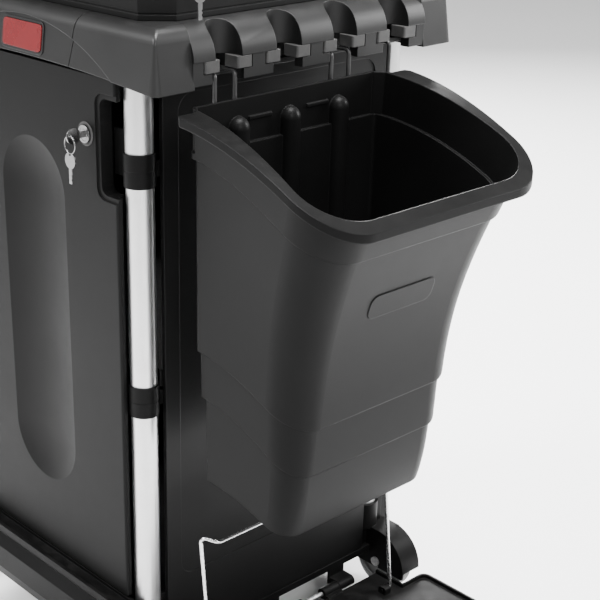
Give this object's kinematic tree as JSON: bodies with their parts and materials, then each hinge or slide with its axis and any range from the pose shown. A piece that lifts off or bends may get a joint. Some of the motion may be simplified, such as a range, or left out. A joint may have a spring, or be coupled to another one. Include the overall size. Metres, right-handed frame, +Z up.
{
  "type": "housekeeping cart",
  "caption": "Lockable housekeeping cart on wheels with hinged doors, a hood, tool rails, a hanging waste bin and fold-up end platforms.",
  "frame": {"origin": "on the floor under the middle of the cart's bounding box", "axes": "+X towards the end that carries the bin, -Y towards the left door, +Z up"},
  "size_m": [1.142, 0.596, 1.34],
  "materials": {
    "black_plastic": "fine moulded texture, satin",
    "satin_aluminium": "satin anodised",
    "chrome": "bright",
    "zinc_wire": "bright zinc",
    "zinc_steel": "zinc plated",
    "grey_tyre": "matt non-marking rubber",
    "grey_hub": "moulded",
    "black_rubber": "matt",
    "black_steel": "black powder coat",
    "red_badge": "plain gloss plate, no mark"
  },
  "bodies": {
    "cart": {"base_tray": "black_plastic", "post_bin_end_left": "satin_aluminium", "post_bin_end_right": "satin_aluminium", "post_bag_end_left": "satin_aluminium", "post_bag_end_right": "satin_aluminium", "post_collars": "black_plastic", "collar_screws": "zinc_steel", "end_panel_bin_end": "black_plastic", "end_panel_bag_end": "black_plastic", "shelf": "black_plastic", "deck": "black_plastic", "tool_rail_bin_end": "black_plastic", "tool_rail_bag_end": "black_plastic", "rail_jaws_bin_end": "black_rubber", "rail_jaws_bag_end": "black_rubber", "badges": "red_badge", "door_pins": "zinc_steel", "hood_base": "black_plastic", "hood_pins": "zinc_steel", "bin_hanger": "black_steel", "platform_pins": "zinc_steel", "fixed_axles": "zinc_steel", "caster_plate_left": "zinc_steel", "caster_plate_right": "zinc_steel", "caster_bolts": "zinc_steel"},
    "left_door": {"door_left": "black_plastic"},
    "right_door": {"door_right": "black_plastic"},
    "left_lock": {"lock_left_door": "chrome", "key_left_door": "chrome"},
    "right_lock": {"lock_right_door": "chrome", "key_right_door": "chrome"},
    "hood_lock": {"lock_hood": "chrome", "key_hood": "chrome"},
    "left_keyring": {"keyring_left_door": "chrome"},
    "right_keyring": {"keyring_right_door": "chrome"},
    "hood_keyring": {"keyring_hood": "chrome"},
    "hood": {"hood_lid": "black_plastic"},
    "bin": {"waste_bin": "black_plastic"},
    "bin_end_platform": {"platform_bin_end": "black_plastic"},
    "bag_end_platform": {"platform_bag_end": "black_plastic"},
    "bin_end_bail": {"bail_bin_end": "zinc_wire"},
    "bag_end_bail": {"bail_bag_end": "zinc_wire"},
    "bin_end_left_wheel": {"tyre_bin_end_left": "grey_tyre", "hub_bin_end_left": "grey_hub"},
    "bin_end_right_wheel": {"tyre_bin_end_right": "grey_tyre", "hub_bin_end_right": "grey_hub"},
    "left_caster": {"caster_fork_left": "zinc_steel", "caster_axle_left": "zinc_steel"},
    "right_caster": {"caster_fork_right": "zinc_steel", "caster_axle_right": "zinc_steel"},
    "left_caster_wheel": {"tyre_bag_end_left": "grey_tyre", "hub_bag_end_left": "grey_hub"},
    "right_caster_wheel": {"tyre_bag_end_right": "grey_tyre", "hub_bag_end_right": "grey_hub"}
  },
  "joints": [
    {"name": "left_door_swing", "type": "hinge", "parent": "cart", "child": "left_door", "pos_m": [-0.188, -0.25965, 0.556], "axis": [0, 0, -1], "range_deg": [0, 110]},
    {"name": "right_door_swing", "type": "hinge", "parent": "cart", "child": "right_door", "pos_m": [0.188, 0.25965, 0.556], "axis": [0, 0, -1], "range_deg": [0, 110]},
    {"name": "left_lock_turn", "type": "hinge", "parent": "left_door", "child": "left_lock", "pos_m": [0.13, -0.265, 0.857], "axis": [0, 1, 0], "range_deg": [0, 90]},
    {"name": "right_lock_turn", "type": "hinge", "parent": "right_door", "child": "right_lock", "pos_m": [-0.13, 0.265, 0.857], "axis": [0, -1, 0], "range_deg": [0, 90]},
    {"name": "hood_lock_turn", "type": "hinge", "parent": "cart", "child": "hood_lock", "pos_m": [0.246, -0.19, 1.076], "axis": [-1, 0, 0], "range_deg": [0, 90]},
    {"name": "left_keyring_swing", "type": "hinge", "parent": "left_lock", "child": "left_keyring", "pos_m": [0.13, -0.291, 0.857], "axis": [-1, 0, 0], "range_deg": [0, 50]},
    {"name": "right_keyring_swing", "type": "hinge", "parent": "right_lock", "child": "right_keyring", "pos_m": [-0.13, 0.291, 0.857], "axis": [1, 0, 0], "range_deg": [0, 50]},
    {"name": "hood_keyring_swing", "type": "hinge", "parent": "hood_lock", "child": "hood_keyring", "pos_m": [0.272, -0.19, 1.076], "axis": [0, -1, 0], "range_deg": [0, 50]},
    {"name": "hood_open", "type": "hinge", "parent": "cart", "child": "hood", "pos_m": [0, 0.247, 1.1225], "axis": [-1, 0, 0], "range_deg": [0, 100]},
    {"name": "bin_lift", "type": "slide", "parent": "cart", "child": "bin", "axis": [0, 0, 1], "range_m": [0, 0.02]},
    {"name": "bin_end_platform_fold", "type": "hinge", "parent": "cart", "child": "bin_end_platform", "pos_m": [0.243, 0, 0.044], "axis": [0, -1, 0], "range_deg": [0, 80]},
    {"name": "bag_end_platform_fold", "type": "hinge", "parent": "cart", "child": "bag_end_platform", "pos_m": [-0.243, 0, 0.044], "axis": [0, 1, 0], "range_deg": [0, 80]},
    {"name": "bin_end_bail_fold", "type": "hinge", "parent": "bin_end_platform", "child": "bin_end_bail", "pos_m": [0.305, 0, 0.048], "axis": [0, -1, 0], "range_deg": [-88, 0]},
    {"name": "bag_end_bail_fold", "type": "hinge", "parent": "bag_end_platform", "child": "bag_end_bail", "pos_m": [-0.305, 0, 0.048], "axis": [0, 1, 0], "range_deg": [-88, 0]},
    {"name": "bin_end_left_wheel_spin", "type": "hinge", "parent": "cart", "child": "bin_end_left_wheel", "pos_m": [0.241, -0.251, 0.052], "axis": [0, 1, 0], "continuous": true},
    {"name": "bin_end_right_wheel_spin", "type": "hinge", "parent": "cart", "child": "bin_end_right_wheel", "pos_m": [0.241, 0.251, 0.052], "axis": [0, 1, 0], "continuous": true},
    {"name": "left_caster_swivel", "type": "hinge", "parent": "cart", "child": "left_caster", "pos_m": [-0.125, -0.165, 0.115], "axis": [0, 0, 1], "continuous": true},
    {"name": "left_caster_wheel_spin", "type": "hinge", "parent": "left_caster", "child": "left_caster_wheel", "pos_m": [-0.153, -0.165, 0.052], "axis": [0, 1, 0], "continuous": true},
    {"name": "right_caster_swivel", "type": "hinge", "parent": "cart", "child": "right_caster", "pos_m": [-0.125, 0.165, 0.115], "axis": [0, 0, 1], "continuous": true},
    {"name": "right_caster_wheel_spin", "type": "hinge", "parent": "right_caster", "child": "right_caster_wheel", "pos_m": [-0.153, 0.165, 0.052], "axis": [0, 1, 0], "continuous": true}
  ],
  "couplings": [
    {"joint": "bin_end_bail_fold", "follows": "bin_end_platform_fold", "ratio": -1.1},
    {"joint": "bag_end_bail_fold", "follows": "bag_end_platform_fold", "ratio": -1.1}
  ]
}
